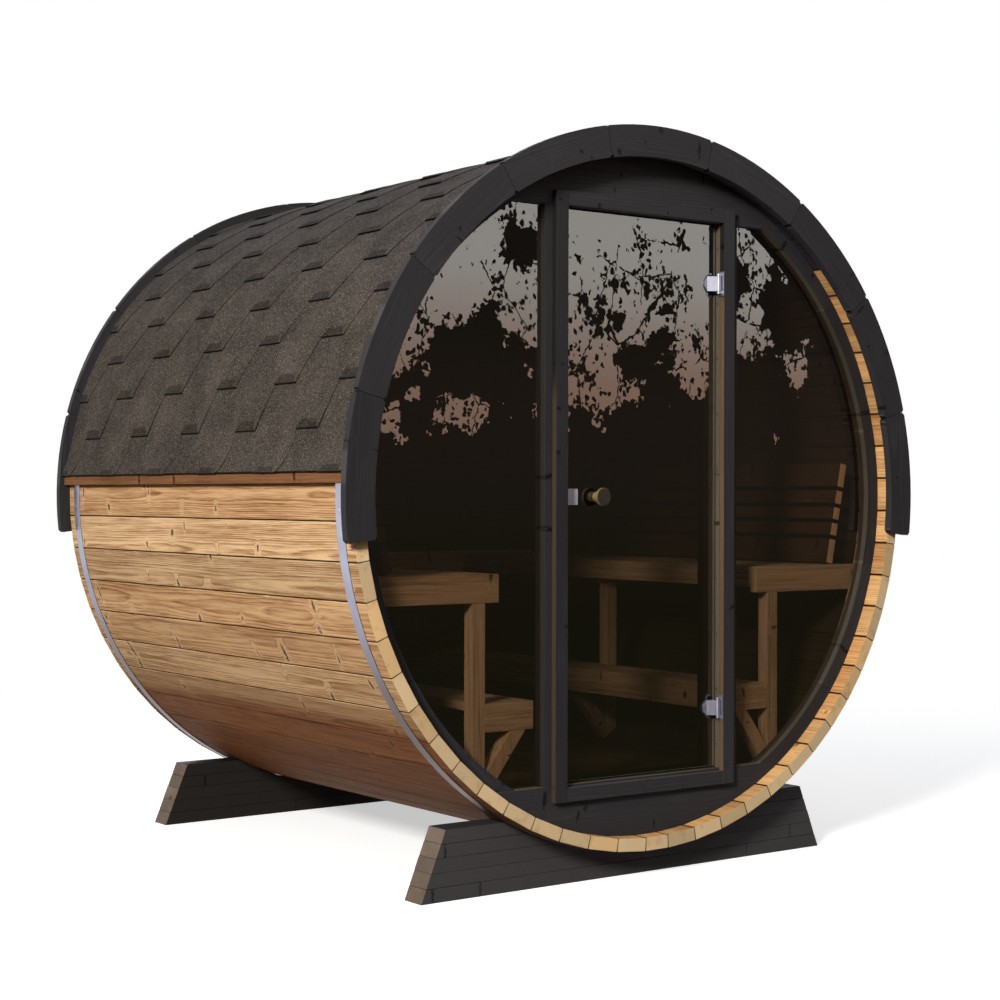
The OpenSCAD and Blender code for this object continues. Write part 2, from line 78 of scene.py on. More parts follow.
RIDGE_THICK = 0.0028
RIDGE_WAVE = 0.0006
RIDGE_COLUMNS = 15

# The walls' round, the changes along the staves' inside, and the back wall's joints.
WALL_RADIUS = 0.985
WALL_CUT = 0.820
# The radial height above which the overhang's inner faces take black paint as a painted shadow.
OVERHANG_SHADOW_SHARE = 0.68
TONGUE = 0.006
TONGUE_Y = (0.814, 0.824)

# Screws, by the face that they are driven into.
FASCIA_END = 96.9
FASCIA_BOARDS = 9
FASCIA_FACE = 0.9137
FASCIA_ROWS = ((1.000, 2.6), (1.032, 3.4))
CASING_FACE = -0.8613
CASING_SIDE = 0.318
CASING_ENDS = (0.262, 1.940)
WALL_FACE = 0.842
WALL_POST = 0.354
RIM_SCREWS = 0.963
REVEAL_FACE = 0.2925
REVEAL_DEPTH = -0.834
BACK_ROWS = 12
BACK_STEP = 0.16
BAND_FACE = 1.0268
BAND_Y = 0.828

# Size of the largest knot, and the share of the seeds that stay clear wood.
KNOT_SIZE = 0.0175
CLEAR_SHARE = 0.40

# ---------------------------------------------------------------- shader nets


class Net:
    """One node material or world, built with short calls."""

    def __init__(self, name, world=False):
        self.block = bpy.data.worlds.new(name) if world else bpy.data.materials.new(name)
        self.block.use_nodes = True
        self.tree = self.block.node_tree
        self.tree.nodes.clear()
        self.out = self.tree.nodes.new("ShaderNodeOutputWorld" if world else "ShaderNodeOutputMaterial")

    def node(self, kind, **settings):
        made = self.tree.nodes.new("ShaderNode" + kind)
        for key, value in settings.items():
            setattr(made, key, value)
        return made

    def feed(self, socket, value):
        if isinstance(value, bpy.types.NodeSocket):
            self.tree.links.new(value, socket)
        elif value is not None:
            socket.default_value = value

    def fill(self, made, *values):
        """A node's first output, with its inputs fed in order."""
        for socket, value in zip(made.inputs, values):
            self.feed(socket, value)
        return made.outputs[0]

    def math(self, operation, a, b=None):
        return self.fill(self.node("Math", operation=operation), a, b)

    def add(self, a, b):
        return self.math("ADD", a, b)

    def sub(self, a, b):
        return self.math("SUBTRACT", a, b)

    def mul(self, a, b):
        return self.math("MULTIPLY", a, b)

    def swing(self, value, noise, reach):
        """The value with a noise round one half added either way."""
        return self.add(value, self.mul(self.sub(noise, 0.5), reach))

    def vector(self, operation, a, b=None):
        made = self.node("VectorMath", operation=operation)
        first = self.fill(made, a, b)
        return made.outputs["Value"] if operation == "LENGTH" else first

    def shift(self, at, by):
        return self.vector("ADD", at, by)

    def stretch(self, at, by):
        return self.vector("MULTIPLY", at, by)

    def split(self, value):
        made = self.node("SeparateXYZ")
        self.feed(made.inputs[0], value)
        return made.outputs

    def join(self, x, y, z):
        return self.fill(self.node("CombineXYZ"), x, y, z)

    def spot(self):
        """The place in the piece's own axes."""
        return self.node("TexCoord").outputs["Object"]

    def read(self, name):
        return self.node("Attribute", attribute_name=name).outputs["Vector"]

    def noise(self, at, scale, detail=2.0, rough=0.5, output="Fac"):
        made = self.node("TexNoise")
        self.feed(made.inputs["Vector"], at)
        self.feed(made.inputs["Scale"], scale)
        self.feed(made.inputs["Detail"], detail)
        self.feed(made.inputs["Roughness"], rough)
        return made.outputs[output]

    def cells(self, at, scale, feature="F1", dims="3D"):
        made = self.node("TexVoronoi", feature=feature, voronoi_dimensions=dims)
        self.feed(made.inputs["Vector"], at)
        self.feed(made.inputs["Scale"], scale)
        return made.outputs

    def step(self, value, low, high, first=0.0, last=1.0):
        made = self.node("MapRange", interpolation_type="SMOOTHSTEP")
        names = ("Value", "From Min", "From Max", "To Min", "To Max")
        for key, item in zip(names, (value, low, high, first, last)):
            self.feed(made.inputs[key], item)
        return made.outputs["Result"]

    def mix(self, share, a, b, blend="MIX"):
        made = self.node("Mix", data_type="RGBA", blend_type=blend)
        self.feed(made.inputs[0], share)
        self.feed(made.inputs[6], rgba(a))
        self.feed(made.inputs[7], rgba(b))
        return made.outputs[2]

    def times(self, colour, other):
        return self.mix(1.0, colour, other, "MULTIPLY")

    def scale(self, colour, value):
        return self.times(colour, self.join(value, value, value))

    def ramp(self, value, stops):
        made = self.node("ValToRGB")
        band = made.color_ramp
        while len(band.elements) < len(stops):
            band.elements.new(0.5)
        for element, (place, colour) in zip(band.elements, stops):
            element.position = place
            element.color = rgba(colour if isinstance(colour, tuple) else (colour,) * 3)
        self.feed(made.inputs[0], value)
        return made.outputs["Color"]

    def result(self, kind, **inputs):
        """A node's first output, with its inputs fed by name."""
        made = self.node(kind)
        for name, value in inputs.items():
            self.feed(made.inputs[name], value)
        return made.outputs[0]

    def blend(self, share, first, second):
        return self.fill(self.node("MixShader"), share, first, second)

    def finish(self, shader):
        self.feed(self.out.inputs[0], shader)
        return self.block

    def surface(self, colour, rough, height, depth, strength, metal=0.0, specular=0.5, edge=0.0):
        """A principled surface with a bump, and its edges rounded in the shading where edge is given."""
        normal = None
        if edge:
            normal = self.fill(self.node("Bevel", samples=4), edge)
        bump = self.result("Bump", Strength=strength, Distance=depth, Height=height, Normal=normal)
        named = {"Base Color": rgba(colour), "Specular IOR Level": specular}
        shader = self.result("BsdfPrincipled", Roughness=rough, Metallic=metal, Normal=bump, **named)
        return self.finish(shader)


WHITE = (1.0, 1.0, 1.0)


def rgba(value):
    if isinstance(value, tuple) and len(value) == 3:
        return (*value, 1.0)
    return value


def srgb(red, green, blue):
    """Screen values from 0 to 255 as the linear colour that a shader takes."""
    def linear(level):
        level /= 255
        return level / 12.92 if level <= 0.04045 else ((level + 0.055) / 1.055) ** 2.4
    return tuple(linear(level) for level in (red, green, blue))


GRAIN_WANDER = 0.02


def grain_field(net, rings, knots=1.0, cell=(0.235, 0.085)):
    """Rings of a sawn board, with knots: ring, knot core, knot halo, fibre, board randoms, place."""
    place = net.read("gpos")
    luck = net.read("grnd")
    one, two, three = net.split(luck)
    shifted = net.shift(place, net.stretch(luck, (17.0, 11.0, 13.0)))
    _, across, deep = net.split(place)
    far_along, far_across, _ = net.split(shifted)
    slow = net.noise(net.join(net.mul(far_along, 0.9), one, two), 1.0, 2.0)
    slow_two = net.noise(net.join(net.mul(far_along, 1.2), two, three), 1.0, 2.0)
    # Knots: one seed to each cell, in metres again once the nearest seed is known.
    seeds = net.join(net.math("DIVIDE", far_along, cell[0]), net.math("DIVIDE", far_across, cell[1]), 0.0)
    found = net.cells(seeds, 1.0, dims="2D")
    gap = net.split(net.vector("SUBTRACT", found["Position"], seeds))
    off_along = net.mul(gap[0], cell[0])
    off_across = net.mul(gap[1], cell[1])
    chance, slim, turn = net.split(found["Color"])
    # A spike knot is drawn out across the board, a round one is not.
    lean = net.mul(net.sub(turn, 0.5), 0.6)
    off_along = net.add(off_along, net.mul(off_across, lean))
    narrow = net.step(slim, 0.2, 0.7, 0.7, 0.24)
    wobble = net.mul(net.sub(net.noise(shifted, 130.0, 3.0), 0.5), 0.009)
    near = net.join(net.add(off_along, wobble), net.mul(off_across, narrow), 0.0)
    reach = net.vector("LENGTH", near)
    size = net.mul(net.math("MAXIMUM", net.sub(chance, CLEAR_SHARE), 0.0), KNOT_SIZE * knots)
    broken = net.noise(net.stretch(shifted, (150.0, 75.0, 75.0)), 1.0, 3.0)
    core = net.step(net.math("DIVIDE", reach, net.add(size, 0.0001)), 0.45, 1.2, 1.0, 0.0)
    core = net.mul(core, net.step(size, 0.0006, 0.0014))
    core = net.mul(core, net.step(broken, 0.34, 0.46))
    halo_size = net.add(net.mul(size, 1.9), 0.0005)
    halo = net.math("POWER", net.math("DIVIDE", reach, halo_size), 2.0)
    halo = net.math("EXPONENT", net.mul(halo, -1.0))
    side = net.swing(across, one, 0.11)
    side = net.swing(side, slow, GRAIN_WANDER)
    depth = net.add(deep, net.add(0.030, net.mul(two, 0.05)))
    depth = net.swing(depth, slow_two, GRAIN_WANDER)
    radius = net.vector("LENGTH", net.join(side, depth, 0.0))
    stretched = net.stretch(shifted, (2.0, 26.0, 26.0))
    ripple = net.mul(net.sub(net.noise(stretched, 1.0, 3.0), 0.5), 1.1)
    phase = net.add(net.mul(radius, rings), ripple)
    phase = net.add(phase, net.mul(halo, 1.6))
    saw = net.math("FRACT", phase)
    ring = net.ramp(saw, [(0.0, 0.0), (0.35, 0.15), (0.7, 0.7), (0.86, 1.0), (1.0, 0.0)])
    fibre = net.noise(net.stretch(shifted, (9.0, 260.0, 260.0)), 1.0, 4.0, 0.7)
    return ring, core, halo, fibre, (one, two, three), shifted


def edge_share(net, reach):
    """One at a board's long edges, nothing further in than the reach."""
    _, across, deep = net.split(net.read("gpos"))
    middle, half, spread = net.split(net.read("gedge"))
    room = net.add(half, net.mul(spread, deep))
    inset = net.sub(room, net.math("ABSOLUTE", net.sub(across, middle)))
    return net.step(inset, reach * 0.35, reach, 1.0, 0.0)


BOARD_ROUGH = 0.62


def board_material(name, light, dark, knot, rings=260.0, tint=0.12, contrast=0.42, seam=0.0, low=None):
    """Planed softwood seen along the grain; low is (full below, none above, tone) by height."""
    net = Net(name)
    ring, core, halo, fibre, luck, shifted = grain_field(net, rings)
    patch = net.noise(net.stretch(shifted, (1.3, 13.0, 13.0)), 1.0, 3.0)
    streak = net.noise(net.stretch(shifted, (2.6, 95.0, 95.0)), 1.0, 3.0, 0.6)
    share = net.mul(ring, contrast)
    share = net.swing(share, fibre, 1.5)
    share = net.swing(share, streak, 1.3)
    share = net.swing(share, patch, 1.1)
    crack = net.noise(net.stretch(shifted, (6.0, 520.0, 520.0)), 1.0, 2.0, 0.6)
    share = net.add(share, net.mul(net.step(crack, 0.60, 0.70), 0.55))
    colour = net.mix(net.step(share, -0.35, 0.95), light, dark)
    ruddy = net.mul(net.step(luck[1], 0.45, 0.95), tint * 3.0)
    colour = net.mix(ruddy, colour, net.times(colour, (0.80, 0.66, 0.54)))
    colour = net.scale(colour, net.step(luck[2], 0.0, 1.0, 1.0 - tint, 1.0 + tint * 0.45))
    colour = net.mix(net.mul(halo, 0.5), colour, knot)
    eye = net.noise(net.stretch(shifted, (160.0, 160.0, 160.0)), 1.0, 2.0)
    centre = net.mul(core, net.step(eye, 0.25, 0.6, 0.6, 1.0))
    colour = net.mix(centre, colour, tuple(c * 0.12 for c in dark))
    if low:
        start, end, tone = low
        rise = net.split(net.spot())[2]
        rise = net.swing(rise, luck[0], 0.08)
        toned = net.times(colour, tone)
        colour = net.mix(net.step(rise, start, end, 1.0, 0.0), colour, toned)
    if seam:
        colour = net.mix(edge_share(net, seam), colour, tuple(c * 0.10 for c in dark))
    height = net.add(net.mul(fibre, 0.6), net.mul(ring, -0.3))
    height = net.add(height, net.mul(core, -0.5))
    shine = net.step(fibre, 0.2, 0.8, BOARD_ROUGH - 0.08, BOARD_ROUGH + 0.1)
    return net.surface(colour, shine, height, 0.0007, 0.6, specular=0.05)


def end_material(name, light, dark, rings=230.0, seam=0.0):
    """The same boards cut across: arcs of rings round the pith."""
    net = Net(name)
    place = net.read("gpos")
    one, two, three = net.split(net.read("grnd"))
    _, across, deep = net.split(place)
    side = net.swing(across, one, 0.15)
    depth = net.add(deep, net.add(0.028, net.mul(two, 0.09)))
    radius = net.vector("LENGTH", net.join(side, depth, 0.0))
    blur = net.noise(place, 60.0, 3.0)
    phase = net.add(net.mul(radius, rings), net.mul(blur, 1.2))
    ring = net.ramp(net.math("FRACT", phase), [(0.0, 0.0), (0.5, 0.2), (0.85, 1.0), (1.0, 0.05)])
    speck = net.noise(place, 900.0, 2.0, 0.7)
    apart = net.stretch(net.read("grnd"), (9.0, 9.0, 9.0))
    stain = net.noise(net.shift(place, apart), 22.0, 3.0)
    share = net.add(net.mul(ring, 0.5), net.mul(net.sub(speck, 0.5), 0.4))
    colour = net.mix(net.step(share, -0.1, 0.9), light, dark)
    colour = net.mix(net.step(stain, 0.52, 0.75, 0.0, 0.5), colour, dark)
    colour = net.scale(colour, net.step(three, 0.0, 1.0, 0.78, 1.1))
    golden = net.times(colour, (1.0, 0.84, 0.62))
    colour = net.mix(net.step(two, 0.5, 1.0, 0.0, 0.6), colour, golden)
    if seam:
        colour = net.mix(edge_share(net, seam), colour, tuple(c * 0.2 for c in dark))
    height = net.add(net.mul(speck, 0.7), net.mul(ring, -0.4))
    return net.surface(colour, 0.8, height, 0.0010, 0.8, specular=0.12)


PAINT_SEAM = 0.0012


def paint_material(name, base, worn, rough=0.58, wear=0.35):
    """Thin dark paint over sawn boards: grain and knots show through it."""
    net = Net(name)
    ring, core, _, fibre, luck, shifted = grain_field(net, 200.0, knots=0.85, cell=(0.15, 0.062))
    cloud = net.noise(net.stretch(shifted, (3.0, 12.0, 12.0)), 1.0, 4.0, 0.6)
    dust = net.noise(shifted, 700.0, 2.0, 0.7)
    share = net.add(net.mul(ring, 0.30), net.mul(fibre, 0.7))
    share = net.swing(share, cloud, 0.9)
    colour = net.mix(net.mul(net.step(share, 0.3, 1.1), wear), base, worn)
    colour = net.scale(colour, net.step(luck[2], 0.0, 1.0, 0.82, 1.15))
    colour = net.mix(net.mul(net.step(dust, 0.6, 0.8), 0.25), colour, worn)
    colour = net.mix(net.mul(edge_share(net, PAINT_SEAM), 0.5), colour, worn)
    colour = net.mix(net.mul(core, 0.85), colour, tuple(c * 0.12 for c in base))
    height = net.add(net.mul(fibre, 0.8), net.mul(ring, -0.4))
    height = net.add(height, net.mul(core, -0.7))
    shine = net.step(cloud, 0.3, 0.7, rough - 0.06, rough + 0.12)
    return net.surface(colour, shine, height, 0.0009, 0.7, specular=0.10)


def shingle_material():
    """Mineral granules on felt, with a dark block at each tab's foot."""
    net = Net("shingle_granules")
    place = net.read("gpos")
    one = net.split(net.read("grnd"))[0]
    along, up, under = net.split(place)
    spot = net.spot()
    grit = net.cells(spot, 430.0)
    tone = net.split(grit["Color"])
    fine = net.noise(spot, 1400.0, 2.0, 0.8)
    broad = net.noise(spot, 7.0, 4.0, 0.6)
    level = net.add(net.mul(tone[0], 0.5), net.mul(fine, 0.7))
    level = net.swing(level, broad, 0.5)
    colour = net.mix(net.step(level, 0.22, 1.02), srgb(24, 22, 20), srgb(94, 87, 80))
    colour = net.mix(net.mul(net.step(tone[1], 0.93, 0.96), 0.6), colour, srgb(136, 126, 114))
    colour = net.scale(colour, net.step(one, 0.0, 1.0, 0.93, 1.06))
    # Towards the ridge the granules are cooled as a painted reflection of the sky.
    sky_tint_share = net.step(net.split(spot)[2], 1.55, 2.10)
    colour = net.mix(sky_tint_share, colour, net.times(colour, (0.86, 0.89, 1.06)))
    ragged = net.mul(net.sub(net.noise(spot, 160.0, 3.0), 0.5), 0.006)
    height_up = net.add(up, ragged)
    middle = net.add(net.math("ABSOLUTE", along), net.mul(up, 0.55))
    block = net.step(height_up, 0.0265, 0.0305, 1.0, 0.0)
    block = net.mul(block, net.step(middle, 0.053, 0.057, 1.0, 0.0))
    colour = net.scale(colour, net.sub(1.0, net.mul(block, 0.46)))
    # A painted shadow darkens each tab's foot.
    colour = net.scale(colour, net.step(up, 0.0014, 0.0042, 0.18, 1.0))
    colour = net.mix(under, colour, srgb(16, 15, 14))
    height = net.add(net.mul(grit["Distance"], -1.0), net.mul(fine, 0.8))
    return net.surface(colour, 0.95, height, 0.0009, 0.8, specular=0.06)


def steel_material(name, base, rough, stretch, metal=1.0, low=None):
    """Brushed steel; low is a painted reflection of the dark ground on its lower part."""
    net = Net(name)
    spot = net.spot()
    lines = net.noise(net.stretch(spot, stretch), 1.0, 3.0, 0.6)
    smear = net.noise(spot, 14.0, 3.0)
    colour = net.scale(base, net.step(smear, 0.3, 0.7, 0.86, 1.04))
    if low:
        colour = net.mix(net.step(net.split(spot)[2], 0.45, 1.08, 1.0, 0.0), colour, low)
    shine = net.step(lines, 0.2, 0.8, rough - 0.06, rough + 0.08)
    shine = net.add(shine, net.step(smear, 0.4, 0.8, 0.0, 0.08))
    return net.surface(colour, shine, lines, 0.0002, 0.25, metal=metal, edge=0.0008)


def glass_material(name, tint):
    """Dark tinted glass: each face lets the tint through, the outer ones mirror by angle."""
    net = Net(name)
    spot = net.spot()
    wave = net.noise(spot, 2.0, 1.0)
    film = net.noise(spot, 11.0, 4.0, 0.6)
    bump = net.result("Bump", Strength=0.02, Distance=0.004, Height=wave)
    inward = net.node("NewGeometry").outputs["Backfacing"]
    mirrored = net.mul(net.result("Fresnel", IOR=2.5), net.sub(1.0, inward))
    clear = net.result("BsdfTransparent", Color=rgba(tint))
    polish = net.step(film, 0.4, 0.8, 0.0, 0.012)
    mirror = net.result("BsdfGlossy", Color=rgba(WHITE), Roughness=polish, Normal=bump)
    return net.finish(net.blend(mirrored, clear, mirror))


def glass_edge_material():
    """The ground edge of the glass, pale where light gathers in it."""
    net = Net("glass_edge")
    spot = net.spot()
    cloud = net.noise(spot, 30.0, 3.0)
    colour = net.mix(cloud, srgb(96, 108, 106), srgb(150, 160, 158))
    return net.surface(colour, 0.35, net.noise(spot, 600.0, 2.0), 0.0003, 0.4, specular=0.4)


# The boards' colours are early wood, late wood and the rim of a knot.
# The staves' low tone, darker and redder below about half a metre, is painted shade with the ground's warm
# bounce painted in.
STAVE = board_material("stave_wood", srgb(224, 190, 146), srgb(140, 96, 58), srgb(232, 200, 158),
                       tint=0.16, contrast=0.52, seam=0.0022, low=(0.42, 0.50, (0.42, 0.26, 0.18)))
OVERHANG = board_material("overhang_wood", srgb(222, 176, 118), srgb(150, 98, 56), srgb(220, 170, 110),
                          tint=0.2, seam=0.0052)
STAVE_END = end_material("stave_end_grain", srgb(232, 206, 162), srgb(178, 136, 92), seam=0.0022)
# The eave battens are darker than the staves as painted shade under the shingles' edge.
BATTEN_SHADE = board_material("shaded_batten_wood", srgb(134, 93, 62), srgb(86, 54, 34), srgb(134, 92, 60), tint=0.1)
INNER = board_material("inner_wood", srgb(212, 176, 140), srgb(148, 108, 76), srgb(200, 160, 120),
                       contrast=0.35)
INNER_END = end_material("inner_end_grain", srgb(206, 170, 132), srgb(148, 110, 76))
# The backrest slats' faces are darkened as painted shade, and their cut ends brightened as painted light.
SLAT_SHADE = board_material("shaded_slat_wood", srgb(80, 57, 45), srgb(49, 35, 27), srgb(62, 44, 34), contrast=0.35)
SLAT_END_LIT = end_material("lit_slat_end_grain", srgb(252, 204, 156), srgb(222, 158, 110))
DECK = board_material("deck_wood", srgb(120, 92, 70), srgb(74, 56, 42), srgb(94, 70, 52), contrast=0.35)
# The inside of the staves within the cabin is darkened as painted shade.
CABIN_SHADE = board_material("shaded_cabin_wood", srgb(62, 48, 38), srgb(38, 30, 24), srgb(50, 38, 30),
                       tint=0.15, seam=0.0024)
# The bare inner faces of the walls, the door stops and the back wall's tongues are darkened as painted shade
# of the dim inside.
LINING_SHADE = board_material("shaded_lining_wood", srgb(72, 56, 43), srgb(46, 35, 27), srgb(60, 44, 32),
                        tint=0.3, seam=0.002)
REVEAL = board_material("reveal_wood", srgb(36, 33, 32), srgb(28, 26, 25), srgb(32, 28, 26),
                        tint=0.15, low=(1.70, 1.78, (6.6, 5.2, 3.0)))
EDGE_WOOD = board_material("casing_edge_wood", srgb(36, 34, 33), srgb(28, 26, 25), srgb(32, 28, 26),
                           tint=0.15, low=(1.38, 1.50, (3.6, 3.0, 2.2)))
PAINT = paint_material("black_paint", srgb(44, 43, 45), srgb(80, 77, 78))
PAINT_WORN = paint_material("worn_paint", srgb(58, 52, 44), srgb(96, 84, 68), 0.62, 0.6)
# A darker paint, as painted shade: the fascias' joints, the back cradle and the post's edge by the left
# window.
PAINT_SHADE = paint_material("painted_shade_paint", srgb(25, 22, 20), srgb(46, 41, 37))
CRADLE_END = paint_material("cradle_end_paint", srgb(98, 86, 76), srgb(158, 142, 126), 0.7, 0.8)
KNOB = board_material("knob_wood", srgb(132, 114, 80), srgb(100, 84, 56), srgb(84, 66, 44), rings=300.0)
KNOB_END = end_material("knob_end_grain", srgb(64, 57, 48), srgb(40, 35, 30), rings=300.0)
SHINGLE = shingle_material()
# The bands darken towards the ground as a painted reflection of it.
BAND_STEEL = steel_material("band_steel", srgb(184, 186, 206), 0.30, (4.0, 900.0, 4.0), low=srgb(74, 62, 60))
HINGE_STEEL = steel_material("hinge_steel", srgb(158, 158, 174), 0.34, (300.0, 300.0, 20.0), metal=0.8)
CATCH_STEEL = steel_material("catch_steel", srgb(186, 182, 198), 0.62, (300.0, 300.0, 20.0), metal=0.2)
SCREW_STEEL = steel_material("screw_steel", srgb(26, 24, 23), 0.6, (300.0, 300.0, 300.0), metal=0.3)
GLASS = glass_material("window_glass", (0.76, 0.735, 0.70))
DOOR_GLASS = glass_material("door_glass_tint", (0.56, 0.545, 0.52))
GLASS_EDGE = glass_edge_material()

# ---------------------------------------------------------------- pieces from the CAD solids


def rounded_centre(part):
    points = part[0]
    return tuple(round(sum(p[i] for p in points) / len(points), 4) for i in range(3))


def islands(node):
    """Each separate solid of a CAD node as (points, faces), with coplanar triangles joined."""
    whole = bmesh.new()
    whole.from_mesh(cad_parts[node].data)
    bmesh.ops.remove_doubles(whole, verts=whole.verts, dist=1e-5)
    bmesh.ops.dissolve_limit(whole, angle_limit=math.radians(0.6), verts=whole.verts, edges=whole.edges)
    seen, found = set(), []
    for start in whole.verts:
        if start in seen:
            continue
        stack, group = [start], []
        seen.add(start)
        while stack:
            vertex = stack.pop()
            group.append(vertex)
            for edge in vertex.link_edges:
                other = edge.other_vert(vertex)
                if other not in seen:
                    seen.add(other)
                    stack.append(other)
        order = {vertex: i for i, vertex in enumerate(group)}
        faces = {face for vertex in group for face in vertex.link_faces}
        faces = sorted(([order[v] for v in face.verts] for face in faces), key=lambda f: (sorted(f), f))
        found.append(([vertex.co.copy() for vertex in group], faces))
    whole.free()
    found.sort(key=rounded_centre)
    return found


def own_axes(points, along=None):
    """The board's centre, and its axes from longest to thinnest."""
    centre = sum(points, Vector()) / len(points)
    low = Vector((min(p[i] for p in points) for i in range(3)))
    high = Vector((max(p[i] for p in points) for i in range(3)))
    if along is None:
        spread = high - low
        along = Vector([1.0 if i == max(range(3), key=lambda k: spread[k]) else 0.0 for i in range(3)])
    along = Vector(along).normalized()
    best = None
    for degree in range(0, 180, 3):
        helper = Vector((0, 0, 1)) if abs(along.z) < 0.9 else Vector((1, 0, 0))
        first = along.cross(helper).normalized()
        trial = Matrix.Rotation(math.radians(degree), 3, along) @ first
        width = [(p - centre).dot(trial) for p in points]
        width = max(width) - min(width)
        if best is None or width < best[0] - 1e-7:
            best = (width, trial)
    thin = best[1]
    return centre, along, thin.cross(along).normalized(), thin


class Build:
    """Collects boards into one mesh with the grain's place and the board's luck in each corner."""

    def __init__(self, name, seed):
        self.name = name
        self.luck = random.Random(seed)
        self.points, self.faces, self.slots, self.place, self.rand = [], [], [], [], []
        self.rims = []

    def add(self, points, faces, slots, axes):
        """A board, whose grain follows its axes."""
        centre, along, across, thin = axes
        rows = [(p - centre).dot(across) for p in points]
        deeps = [(p - centre).dot(thin) for p in points]
        middle = (min(rows) + max(rows)) / 2
        low, high = min(deeps), max(deeps)
        shallow = max(abs(r - middle) for r, d in zip(rows, deeps) if d <= low + (high - low) * 0.3)
        deep = max(abs(r - middle) for r, d in zip(rows, deeps) if d >= high - (high - low) * 0.3)
        spread = (deep - shallow) / max(high - low, 1e-4)
        edge = (middle, (deep + shallow) / 2 - spread * (low + high) / 2, spread)
        place = [((p - centre).dot(along), row, depth) for p, row, depth in zip(points, rows, deeps)]
        self.add_placed(points, faces, slots, place, edge)

    def add_placed(self, points, faces, slots, place, edge=(0.0, 1.0, 0.0)):
        """A piece with its place in the material given point by point."""
        luck = tuple(self.luck.random() for _ in range(3))
        base = len(self.points)
        self.points += [tuple(p) for p in points]
        self.place += place
        self.rims += [edge] * len(points)
        self.rand += [luck] * len(points)
        self.faces += [[base + i for i in face] for face in faces]
        self.slots += slots

    def done(self, materials, body="shell", smooth=35.0, weighted=True):
        mesh = bpy.data.meshes.new(self.name)
        mesh.from_pydata(self.points, [], self.faces)
        for material in materials:
            mesh.materials.append(material)
        mesh.polygons.foreach_set("material_index", self.slots)
        for key, data in (("gpos", self.place), ("grnd", self.rand), ("gedge", self.rims)):
            layer = mesh.attributes.new(key, "FLOAT_VECTOR", "POINT")
            layer.data.foreach_set("vector", [x for row in data for x in row])
        mesh.validate()
        if smooth:
            mesh.polygons.foreach_set("use_smooth", [True] * len(mesh.polygons))
            mesh.set_sharp_from_angle(angle=math.radians(smooth))
        obj = bpy.data.objects.new(self.name, mesh)
        bpy.context.scene.collection.objects.link(obj)
        if smooth and weighted:
            even = obj.modifiers.new("even_normals", "WEIGHTED_NORMAL")
            even.keep_sharp = True
        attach(obj, body)
        return obj


def sharp_edges(part, degrees):
    limit = math.radians(degrees)
    return [e for e in part.edges if len(e.link_faces) == 2 and e.calc_face_angle(0) > limit]


def along_y(edge):
    return abs((edge.verts[0].co - edge.verts[1].co).normalized().y) > 0.99


def bevelled(points, faces, width, corner=0.0, cuts=()):
    """The solid with its sharp edges rounded, the ones along Y first where a corner size is given."""
    part = bmesh.new()
    corners = [part.verts.new(p) for p in points]
    for face in faces:
        part.faces.new([corners[i] for i in face])
    part.normal_update()
    if corner:
        upright = [e for e in sharp_edges(part, 50) if along_y(e)]
        bmesh.ops.bevel(part, geom=upright, offset=corner, segments=4, profile=0.5, affect="EDGES",
                        clamp_overlap=True)
        part.normal_update()
    if width:
        bmesh.ops.bevel(part, geom=sharp_edges(part, 24), offset=width, segments=2, profile=0.55,
                        affect="EDGES", clamp_overlap=True)
        part.normal_update()
    for cut in cuts:
        everything = part.verts[:] + part.edges[:] + part.faces[:]
        bmesh.ops.bisect_plane(part, geom=everything, dist=1e-6, plane_co=(0, cut, 0), plane_no=(0, 1, 0))
    part.normal_update()
    part.verts.index_update()
    out = ([v.co.copy() for v in part.verts], [[v.index for v in f.verts] for f in part.faces],
           [(f.normal.copy(), f.calc_center_median()) for f in part.faces])
    part.free()
    return out


# A rule gives a face's slot from its normal, the board's axes and the face's centre.
def end_rule(normal, axes, centre):
    return 1 if abs(normal.dot(axes[1])) > 0.75 else 0


def dress(node, materials, width=0.0015, along=None, rule=end_rule, body="shell", corner=0.0, cuts=()):
    """A detailed piece over a CAD node, that replaces it."""
    build = Build("look_" + node, node)
    for points, faces in islands(node):
        axes = own_axes(points, along(points) if callable(along) else along)
        points, faces, sides = bevelled(points, faces, width, corner=corner, cuts=cuts)
        build.add(points, faces, [rule(normal, axes, middle) for normal, middle in sides], axes)
    obj = build.done(materials, body)
    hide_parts(node)
    return obj


def radial(point):
    out = Vector((point.x, 0, point.z - AXIS_Z))
    return out.normalized() if out.length > 1e-6 else Vector((0, 0, 0))


def chord(points):
    """Along the straight plank that a curved board is cut from."""
    middle = sum(points, Vector()) / len(points)
    out = radial(middle)
    return Vector((out.z, 0, -out.x))


def stave_rule(normal, axes, centre):
    """End grain at the ends, painted shade on the wood inside the cabin, and black paint as a painted shadow
    under the top of each overhang.
    """
    if abs(normal.y) > 0.75:
        return 1
    if normal.dot(radial(centre)) > -0.5:
        return 0
    if abs(centre.y) < WALL_CUT:
        return 2
    # Black paint high on the overhang's inside is a painted shadow.
    return 4 if radial(centre).z > OVERHANG_SHADOW_SHARE else 3


for node in ("staves_lower_left", "staves_lower_right", "staves_upper_left", "staves_upper_right"):
    dress(node, [STAVE, STAVE_END, CABIN_SHADE, OVERHANG, PAINT], 0.0026, along=(0, 1, 0), rule=stave_rule,
          cuts=(-WALL_CUT, WALL_CUT))
dress("eave_battens", [BATTEN_SHADE, STAVE_END], 0.003, along=(0, 1, 0))


def fascia_rule(normal, axes, centre):
    """The ends, at the joints between the boards, take the darker paint as painted shade."""
    return 1 if abs(normal.dot(axes[1])) > 0.3 else 0


for node in ("front_fascia", "back_fascia"):
    dress(node, [PAINT, PAINT_SHADE], 0.004, along=chord, rule=fascia_rule, corner=0.022)


